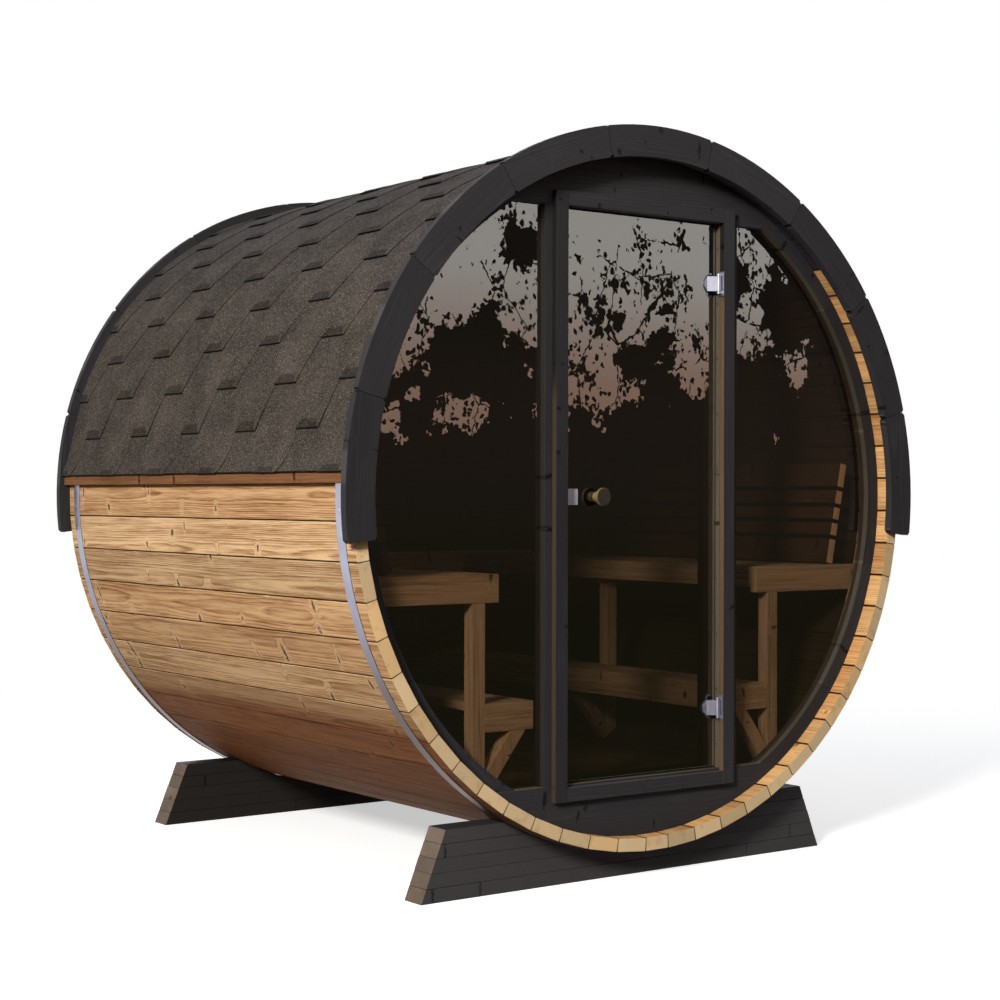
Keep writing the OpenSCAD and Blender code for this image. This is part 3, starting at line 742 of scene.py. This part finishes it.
def cradle_rule(normal, axes, centre):
    """The sloping ends are paler."""
    return 1 if abs(normal.x) > 0.6 else 0


# The back cradle takes the darker paint as painted shade.
for node, paint in (("front_cradle", PAINT), ("back_cradle", PAINT_SHADE)):
    dress(node, [paint, CRADLE_END], 0.0022, along=(1, 0, 0), rule=cradle_rule)


# The rules below return a place in this list.
WALL = [PAINT, LINING_SHADE, PAINT_WORN, REVEAL, EDGE_WOOD, PAINT_SHADE]


def wall_rule(normal, axes, centre):
    """The outer face is painted, the inner one bare wood darkened as painted shade, the edges between worn.
    """
    if abs(normal.y) > 0.5:
        return 0 if normal.y < 0 else 1
    return 2


def edge_painted(normal, axes, centre):
    """Painted all round, and bare inside, where the wood is darkened as painted shade."""
    return 1 if normal.y > 0.5 else 0


def post_rule(normal, axes, centre):
    """The post's edge beside the left window takes the darker paint as painted shade."""
    return 5 if normal.x < -0.5 else edge_painted(normal, axes, centre)


def casing_rule(normal, axes, centre):
    """The casing's edges that face the barrel's left side are dark up high and lighter, wood-coloured, low
    down.
    """
    if normal.x < -0.5:
        return 3 if centre.x > 0 else 4
    return edge_painted(normal, axes, centre)


def one_slot(normal, axes, centre):
    return 0


def outer_slot(normal, axes, centre):
    """The back wall's outer face is painted, the rest bare wood darkened as painted shade."""
    return 0 if normal.y > 0.5 else 1


def pane_rule(normal, axes, centre):
    """The two faces of the glass, and its ground edge."""
    return 0 if abs(normal.y) > 0.9 else 1


dress("front_wall_head", WALL, 0.0015, along=(1, 0, 0), rule=edge_painted)
dress("front_wall_sill", WALL, 0.0015, along=(1, 0, 0), rule=wall_rule)
dress("front_wall_left_rim", WALL, 0.0012, along=chord, rule=wall_rule)
dress("front_wall_right_rim", WALL, 0.0012, along=chord, rule=wall_rule)
dress("left_door_post", WALL, 0.002, along=(0, 0, 1), rule=post_rule)
dress("right_door_post", WALL, 0.002, along=(0, 0, 1), rule=wall_rule)
dress("door_casing", WALL, 0.002, rule=casing_rule)
dress("door_stops", [LINING_SHADE, LINING_SHADE], 0.002)
dress("back_wall", [PAINT, LINING_SHADE], 0.003, along=(1, 0, 0), rule=outer_slot)


def box_piece(build, low, high, along):
    points = [Vector((x, y, z)) for x in (low[0], high[0]) for y in (low[1], high[1])
              for z in (low[2], high[2])]
    faces = [[0, 1, 3, 2], [4, 6, 7, 5], [0, 4, 5, 1], [2, 3, 7, 6], [0, 2, 6, 4], [1, 5, 7, 3]]
    build.add(points, faces, [0] * 6, own_axes(points, along))


def wall_tongues():
    """A tongue in each joint of the back wall, so that no light comes through."""
    build = Build("back_wall_tongues", "tongues")
    boards = []
    for points, _ in islands("back_wall"):
        boards.append((min(p.z for p in points), max(p.z for p in points)))
    boards.sort()
    for lower, upper in zip(boards, boards[1:]):
        middle = (lower[1] + upper[0]) / 2
        half = math.sqrt(max(WALL_RADIUS ** 2 - (abs(middle - AXIS_Z) + TONGUE) ** 2, 0.01)) - TONGUE
        low = (-half, TONGUE_Y[0], middle - TONGUE)
        high = (half, TONGUE_Y[1], middle + TONGUE)
        box_piece(build, low, high, (1, 0, 0))
    obj = build.done([LINING_SHADE, LINING_SHADE])


wall_tongues()

for side in ("left", "right"):
    dress(side + "_bench_frame", [INNER, INNER_END], 0.004)
    dress(side + "_bench_slats", [INNER, INNER_END], 0.003)
    dress(side + "_bench_posts", [INNER, INNER_END], 0.002, along=(0, 0, 1))
    dress(side + "_footrest", [INNER, INNER_END], 0.003)
    # Only the right backrest's ends take the bright end grain, as painted light; the left ones keep the
    # shaded slat wood.
    dress(side + "_backrest", [SLAT_SHADE, SLAT_END_LIT if side == "right" else SLAT_SHADE], 0.003)
dress("floor_boards", [DECK, DECK], 0.003, along=(0, 1, 0))
dress("floor_bearers", [INNER, INNER_END], 0.002, along=(1, 0, 0))
dress("back_cross_rail", [INNER, INNER_END], 0.004, along=(1, 0, 0))

dress("steel_bands", [BAND_STEEL], 0.0003, rule=one_slot)
dress("door_hinge_clamps", [HINGE_STEEL], 0.0012, rule=one_slot, body="door")
dress("door_hinge_plates", [HINGE_STEEL], 0.0008, rule=one_slot)
dress("door_catch_plate", [CATCH_STEEL], 0.0006, rule=one_slot, body="door")
dress("door_knob_outside", [KNOB, KNOB_END], 0.0012, along=(0, 1, 0), body="door")
dress("door_knob_inside", [KNOB, KNOB_END], 0.0012, along=(0, 1, 0), body="door")
dress("door_glass", [DOOR_GLASS, GLASS_EDGE], 0.0008, rule=pane_rule, body="door")
dress("left_window_glass", [GLASS], 0.0, rule=one_slot)
dress("right_window_glass", [GLASS], 0.0, rule=one_slot)

# ---------------------------------------------------------------- shingles


def roof_point(arc, along, lift):
    """A point of the roof by its arc from the ridge towards +X, with the outward kick at the eave."""
    share = max(0.0, min(1.0, (abs(arc) - (EAVE_ARC - FLARE_ARC)) / FLARE_ARC))
    radius = SHINGLE_RADIUS + lift + FLARE * share * share
    angle = arc / SHINGLE_RADIUS
    return Vector((radius * math.sin(angle), along, AXIS_Z + radius * math.cos(angle)))


def sheet_piece(build, outline, foot_arc, centre, side, lifts, thick, cells=5):
    """A thin felt piece: rows of (arc, left, right), with its lift at the head and at the foot."""
    rows = len(outline)
    points, faces, place = [], [], []
    for layer in (0, 1):
        for r, (arc, left, right) in enumerate(outline):
            lift = lifts[0] + (lifts[1] - lifts[0]) * r / (rows - 1)
            for c in range(cells + 1):
                along = left + (right - left) * c / cells
                wave = WAVE * noise.noise(Vector((along * 7.0, arc * 9.0, 4.0 * side)))
                points.append(roof_point(arc * side, along, lift + wave - layer * thick))
                place.append((along - centre, foot_arc - arc, float(layer)))
    width = cells + 1
    shift = rows * width

    def quad(a, b, c, d):
        faces.append([a, b, c, d] if side > 0 else [d, c, b, a])

    for r in range(rows - 1):
        for c in range(cells):
            a = r * width + c
            quad(a, a + width, a + width + 1, a + 1)
            quad(shift + a, shift + a + 1, shift + a + width + 1, shift + a + width)
        for c in (0, cells):
            a = r * width + c
            loop = (a, shift + a, shift + a + width, a + width)
            quad(*(loop if c == 0 else loop[::-1]))
    for r in (0, rows - 1):
        for c in range(cells):
            a = r * width + c
            loop = (a, a + 1, shift + a + 1, shift + a)
            quad(*(loop if r == 0 else loop[::-1]))
    build.add_placed(points, faces, [0] * len(faces), place)


def tab_outline(foot_arc, centre, bow):
    """Rows of a tab from its head, under the next course, down to its foot, cut at the roof's ends."""
    rows = []
    for part in range(TAB_ROWS):
        share = part / (TAB_ROWS - 1)
        arc = foot_arc - COURSE - TAB_TUCK + share * (COURSE + TAB_TUCK)
        fall = max(0.0, (arc - (foot_arc - COURSE)) / COURSE) ** bow
        half = (TAB_HEAD + (TAB_FOOT - TAB_HEAD) * fall) / 2
        left = min(max(centre - half, FRONT_END), BACK_END - 0.001)
        right = max(min(centre + half, BACK_END), FRONT_END + 0.001)
        rows.append((min(arc, EAVE_ARC), left, right))
    return rows


def course_strip(build, course, foot, side):
    """The felt of a course above its tabs, from end to end."""
    head = max(foot - 2 * COURSE - TAB_TUCK, 0.0)
    strip_foot = EAVE_ARC if course < 0 else foot - COURSE - STRIP_GAP
    if strip_foot <= head:
        return
    step = STRIP_ROWS - 1
    rows = [(head + (strip_foot - head) * i / step, FRONT_END, BACK_END) for i in range(STRIP_ROWS)]
    # The material paints a shadow along a foot's edge, which only the lowest strip shows, and darkens a
    # block at each tab's middle, which no strip has.
    far_foot = strip_foot + (1.0 if course >= 0 else 0.0)
    far_centre = -9.0
    sheet_piece(build, rows, far_foot, far_centre, side, STRIP_LIFTS, STRIP_THICK, cells=STRIP_CELLS)


def shingle_side(node, side):
    """Courses from the eave to the ridge: a full strip for each, then its tabs."""
    build = Build("look_" + node, node)
    for course in range(-1, COURSES):
        foot = FIRST_TAB_ARC - course * COURSE
        course_strip(build, course, foot, side)
        for number in range(-1, TAB_LAST):
            centre = FRONT_END + TAB_STARTS[course % 2] + number * TAB_PITCH
            half = TAB_HEAD / 2
            if centre + half < FRONT_END + SLIVER or centre - half > BACK_END - SLIVER:
                continue
            if foot - COURSE < 0.0:
                continue
            centre += build.luck.uniform(-0.002, 0.002)
            low = foot + build.luck.uniform(-0.0015, 0.0015)
            lifts = (-0.0024, 0.0016 + build.luck.uniform(0.0, 0.0008))
            outline = tab_outline(low, centre, 1.9 if course < 0 else 1.0)
            sheet_piece(build, outline, low, centre, side, lifts, TAB_THICK)
    obj = build.done([SHINGLE], smooth=40.0, weighted=False)
    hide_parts(node)


def ridge_shingles():
    """Bent pieces across the ridge, each over the next towards the front."""
    build = Build("look_ridge_shingles", "ridge")
    shift = RIDGE_COLUMNS * 2
    for number in range(RIDGE_PIECES):
        low = FRONT_END + number * RIDGE_STEP
        high = min(low + RIDGE_STEP + RIDGE_LAP, BACK_END)
        points, place, faces = [], [], []
        for layer in (0, 1):
            for part in range(RIDGE_COLUMNS):
                arc = -RIDGE_HALF + 2 * RIDGE_HALF * part / (RIDGE_COLUMNS - 1)
                for end, lift in zip((low, high), RIDGE_LIFTS):
                    wave = RIDGE_WAVE * noise.noise(Vector((arc * 14.0, number * 3.1, 5.0)))
                    points.append(roof_point(arc, end, lift + wave - layer * RIDGE_THICK))
                    place.append((arc, end - low, float(layer)))
        for a in range(0, shift - 2, 2):
            faces.append([a, a + 2, a + 3, a + 1])
            faces.append([shift + a, shift + a + 1, shift + a + 3, shift + a + 2])
            faces.append([a, shift + a, shift + a + 2, a + 2])
            faces.append([a + 1, a + 3, shift + a + 3, shift + a + 1])
        for a in (0, shift - 2):
            loop = [a, a + 1, shift + a + 1, shift + a]
            faces.append(loop if a == 0 else loop[::-1])
        build.add_placed(points, faces, [0] * len(faces), place)
    build.done([SHINGLE], smooth=40.0, weighted=False)


shingle_side("shingles_right", 1)
shingle_side("shingles_left", -1)
ridge_shingles()

# ---------------------------------------------------------------- screws

# Rings of a screw's head, as shares of its radius and of its height, and the recess's floor.
SCREW_RINGS = ((1.0, 0.0), (0.9, 0.35), (0.45, 0.42), (0.32, -0.2))
SCREW_FLOOR = -0.3
SCREW_SIDES = 12
OUT_FRONT, OUT_BACK = (0, -1, 0), (0, 1, 0)


def screw(build, place, facing, radius, proud=0.0008):
    """A screw head with a round recess, pressed into the board."""
    place, facing = Vector(place), Vector(facing).normalized()
    helper = Vector((0, 0, 1)) if abs(facing.z) < 0.9 else Vector((1, 0, 0))
    first = facing.cross(helper).normalized()
    second = facing.cross(first)
    turn = build.luck.uniform(0.0, 0.5)
    points, faces = [], []
    for share, rise in SCREW_RINGS:
        for part in range(SCREW_SIDES):
            angle = turn + 2 * math.pi * part / SCREW_SIDES
            spoke = first * math.cos(angle) + second * math.sin(angle)
            points.append(place + spoke * share * radius + facing * rise * proud)
    points.append(place + facing * SCREW_FLOOR * proud)
    last = (len(SCREW_RINGS) - 1) * SCREW_SIDES
    for ring in range(0, last, SCREW_SIDES):
        for part in range(SCREW_SIDES):
            a, b = ring + part, ring + (part + 1) % SCREW_SIDES
            faces.append([a, b, b + SCREW_SIDES, a + SCREW_SIDES])
    for part in range(SCREW_SIDES):
        faces.append([last + part, last + (part + 1) % SCREW_SIDES, len(points) - 1])
    if (points[1] - points[0]).cross(points[SCREW_SIDES] - points[0]).dot(facing) < 0:
        faces = [face[::-1] for face in faces]
    build.add(points, faces, [0] * len(faces), (place, first, second, facing))


def fascia_screws(build, plane, facing):
    """Two screws near each end of each curved board."""
    step = 2 * FASCIA_END / FASCIA_BOARDS
    for board in range(FASCIA_BOARDS):
        for end in (-1, 1):
            for radius, lean in FASCIA_ROWS:
                angle = math.radians(-FASCIA_END + (board + 0.5) * step + end * (step / 2 - lean))
                reach = radius + build.luck.uniform(-0.004, 0.004)
                place = (reach * math.sin(angle), plane, AXIS_Z + reach * math.cos(angle))
                screw(build, place, facing, 0.0052)


def front_screws():
    """Screws of the front fascia, the door's casing, the wall round it and the reveal."""
    build = Build("front_screws", "front screws")
    fascia_screws(build, -FASCIA_FACE, OUT_FRONT)
    for x in (-CASING_SIDE, CASING_SIDE):
        for number in range(8):
            place = (x + build.luck.uniform(-0.003, 0.003), CASING_FACE, 0.30 + number * 0.226)
            screw(build, place, OUT_FRONT, 0.0042)
    for x in (-0.2, 0.0, 0.2):
        for z in CASING_ENDS:
            screw(build, (x, CASING_FACE, z), OUT_FRONT, 0.0042)
    for side in (-1, 1):
        for number in range(6):
            screw(build, (side * WALL_POST, -WALL_FACE, 0.40 + number * 0.29), OUT_FRONT, 0.0042)
        for degrees in range(-50, 60, 20):
            angle = math.radians(degrees + 4)
            x, rise = side * RIM_SCREWS * math.cos(angle), RIM_SCREWS * math.sin(angle)
            screw(build, (x, -WALL_FACE, AXIS_Z + rise), OUT_FRONT, 0.0045)
    for number in range(10):
        screw(build, (REVEAL_FACE, REVEAL_DEPTH, 0.36 + number * 0.165), (-1, 0, 0), 0.003)
    build.done([SCREW_STEEL])


def back_screws():
    """Screws of the back fascia, and two to each row of the back wall."""
    build = Build("back_screws", "back screws")
    fascia_screws(build, FASCIA_FACE, OUT_BACK)
    for row in range(BACK_ROWS):
        for x in (-0.25, 0.25):
            screw(build, (x, WALL_FACE, AXIS_Z - 0.88 + row * BACK_STEP), OUT_BACK, 0.0036)
    build.done([SCREW_STEEL])


def band_screws():
    """Two screws at each end of each steel band."""
    build = Build("band_screws", "band screws")
    for side in (-1, 1):
        for y in (-BAND_Y, BAND_Y):
            for down in (2.2, 6.0):
                angle = math.radians(90 + down)
                out = Vector((side * math.sin(angle), 0, math.cos(angle)))
                screw(build, Vector((0, y, AXIS_Z)) + out * BAND_FACE, out, 0.0045, 0.0012)
    build.done([BAND_STEEL])


front_screws()
back_screws()
band_screws()

# ---------------------------------------------------------------- light, floor and camera

FLOOR_HALF = 40.0
FLOOR_BOUNCE = (0.085, 0.055, 0.036)
FLOOR_SHOWN = (0.80, 0.80, 0.80)
FLOOR_GLOW = 0.54
FLOOR_FADE = (2.2, 5.0)
CARD_LOW, CARD_HIGH = (-1.2, 0.0), (6.5, 4.2)
CARD_Y = -2.0
SKY_LOW, SKY_HIGH = (0.52, 0.38, 0.27), (0.90, 0.94, 1.0)
SKY_STRENGTH = 0.31
LAMP_AIM = (0, 0, 1.0)
VIEW_YAW = math.radians(36.22)
VIEW_PITCH = math.radians(-0.11)
VIEW_ROLL = math.radians(-0.12)
VIEW_PLACE = (-3.5993, -5.0469, 1.101)
VIEW_LENS = 68.35
VIEW_SENSOR = 36.0


def card(name, corners, material):
    mesh = bpy.data.meshes.new(name)
    mesh.from_pydata(corners, [], [(0, 1, 2, 3)])
    mesh.materials.append(material)
    obj = bpy.data.objects.new(name, mesh)
    bpy.context.scene.collection.objects.link(obj)
    return obj


def background_share(net):
    """One for the rays that show the background, nothing for the rays that light the sauna."""
    rays = net.node("LightPath").outputs
    mirrored = net.math("MAXIMUM", rays["Is Glossy Ray"], rays["Is Transmission Ray"])
    return net.math("MAXIMUM", rays["Is Camera Ray"], mirrored)


def floor_material():
    """White where it shows, with the object's shadow near it; dim and warm where it lights the sauna."""
    net = Net("floor_paint")
    shown = background_share(net)
    paint = net.result("BsdfDiffuse", Color=net.mix(shown, FLOOR_BOUNCE, FLOOR_SHOWN))
    glow = net.result("Emission", Color=rgba(WHITE), Strength=net.mul(shown, FLOOR_GLOW))
    near = net.fill(net.node("AddShader"), paint, glow)
    white = net.result("Emission", Color=rgba(WHITE), Strength=1.0)
    away = net.step(net.vector("LENGTH", net.spot()), *FLOOR_FADE)
    return net.finish(net.blend(net.mul(away, shown), near, white))


def garden_material():
    """The garden seen in the glass: dark trees that thin out upwards into leaves and twigs, and sky."""
    net = Net("card_paint")
    spot = net.spot()
    across, _, height = net.split(spot)
    crowns = net.noise(net.shift(spot, (5.3, 0.0, 2.1)), 3.8, 5.0, 0.62)
    tree_line = net.step(across, 1.35, 2.1, 2.04, 3.0)
    density = net.mul(net.sub(tree_line, height), 0.75)
    density = net.swing(density, crowns, 5.2)
    density = net.add(density, net.step(height, 1.10, 1.42, 1.40, 0.34))
    sway = net.noise(spot, 34.0, output="Color")
    shaken = net.shift(spot, net.stretch(sway, (0.030, 0.0, 0.030)))
    leaf = net.cells(net.stretch(shaken, (1.0, 0.0, 0.85)), 56.0)
    leaves = net.math("LESS_THAN", net.split(leaf["Color"])[0], density)
    leaves = net.mul(leaves, net.math("LESS_THAN", leaf["Distance"], 0.58))
    twigs = net.cells(net.stretch(shaken, (1.0, 0.0, 0.6)), 7.0, "DISTANCE_TO_EDGE")["Distance"]
    twigs = net.mul(net.math("LESS_THAN", twigs, 0.013), net.math("GREATER_THAN", density, 0.12))
    covered = net.math("MAXIMUM", net.math("MAXIMUM", leaves, twigs), net.step(density, 0.60, 0.64))
    sky = net.mix(net.step(height, 1.45, 2.0), (0.92, 0.58, 0.43), (1.30, 1.25, 1.15))
    trees = net.mix(net.step(height, 0.6, 1.3), (0.034, 0.031, 0.016), (0.056, 0.042, 0.030))
    trees = net.mix(net.step(height, 1.4, 1.9, 0.0, 0.6), trees, (0.022, 0.018, 0.016))
    return net.finish(net.result("Emission", Color=net.mix(covered, sky, trees), Strength=1.0))


def sky_world():
    """White behind the sauna, and a dim light on it, warm near the ground."""
    net = Net("sky", world=True)
    height = net.split(net.node("TexCoord").outputs["Generated"])[2]
    colour = net.mix(net.step(height, 0.0, 0.6), SKY_LOW, SKY_HIGH)
    lit = net.result("Background", Color=colour, Strength=SKY_STRENGTH)
    white = net.result("Background", Color=rgba(WHITE), Strength=1.0)
    return net.finish(net.blend(background_share(net), lit, white))


def lamp(name, place, size, power, colour):
    data = bpy.data.lights.new(name, "AREA")
    data.shape = "DISK"
    data.size = size
    data.energy = power
    data.color = colour
    obj = bpy.data.objects.new(name, data)
    obj.location = place
    obj.rotation_mode = "QUATERNION"
    obj.rotation_quaternion = (Vector(LAMP_AIM) - Vector(place)).to_track_quat("-Z", "Y")
    bpy.context.scene.collection.objects.link(obj)


def add_camera():
    """The photograph's camera."""
    data = bpy.data.cameras.new("camera")
    data.sensor_width = VIEW_SENSOR
    data.lens = VIEW_LENS
    data.clip_start, data.clip_end = 0.05, 200.0
    camera = bpy.data.objects.new("camera", data)
    bpy.context.scene.collection.objects.link(camera)
    level = math.cos(VIEW_PITCH)
    ahead = Vector((math.sin(VIEW_YAW) * level, math.cos(VIEW_YAW) * level, math.sin(VIEW_PITCH)))
    right = Vector((math.cos(VIEW_YAW), -math.sin(VIEW_YAW), 0.0))
    down = ahead.cross(right)
    turned_right = right * math.cos(VIEW_ROLL) + down * math.sin(VIEW_ROLL)
    turned_down = down * math.cos(VIEW_ROLL) - right * math.sin(VIEW_ROLL)
    pose = Matrix((turned_right, -turned_down, -ahead)).transposed().to_4x4()
    pose.translation = Vector(VIEW_PLACE)
    camera.matrix_world = pose
    bpy.context.scene.camera = camera


floor_corners = [(x * FLOOR_HALF, y * FLOOR_HALF, 0) for x, y in ((-1, -1), (1, -1), (1, 1), (-1, 1))]
card("floor", floor_corners, floor_material())

# The card stands beyond the front, out of the picture, and is seen in mirrors only.
(left, low), (right, high) = CARD_LOW, CARD_HIGH
card_corners = [(x, CARD_Y, z) for x, z in ((left, low), (right, low), (right, high), (left, high))]
dark_card = card("dark_card", card_corners, garden_material())
for kind in ("camera", "diffuse", "transmission", "volume_scatter", "shadow"):
    setattr(dark_card, "visible_" + kind, False)

bpy.context.scene.world = sky_world()
lamp("key", (-9.3, -6.05, 5.5), 2.2, 1650.0, (1.0, 0.97, 0.93))
lamp("fill", (-1.5, -9.5, 7.5), 5.0, 90.0, (0.95, 0.97, 1.0))
lamp("back", (5.5, 9.0, 4.5), 4.0, 420.0, (0.97, 0.98, 1.0))
add_camera()
bpy.context.scene.view_settings.view_transform = "Standard"
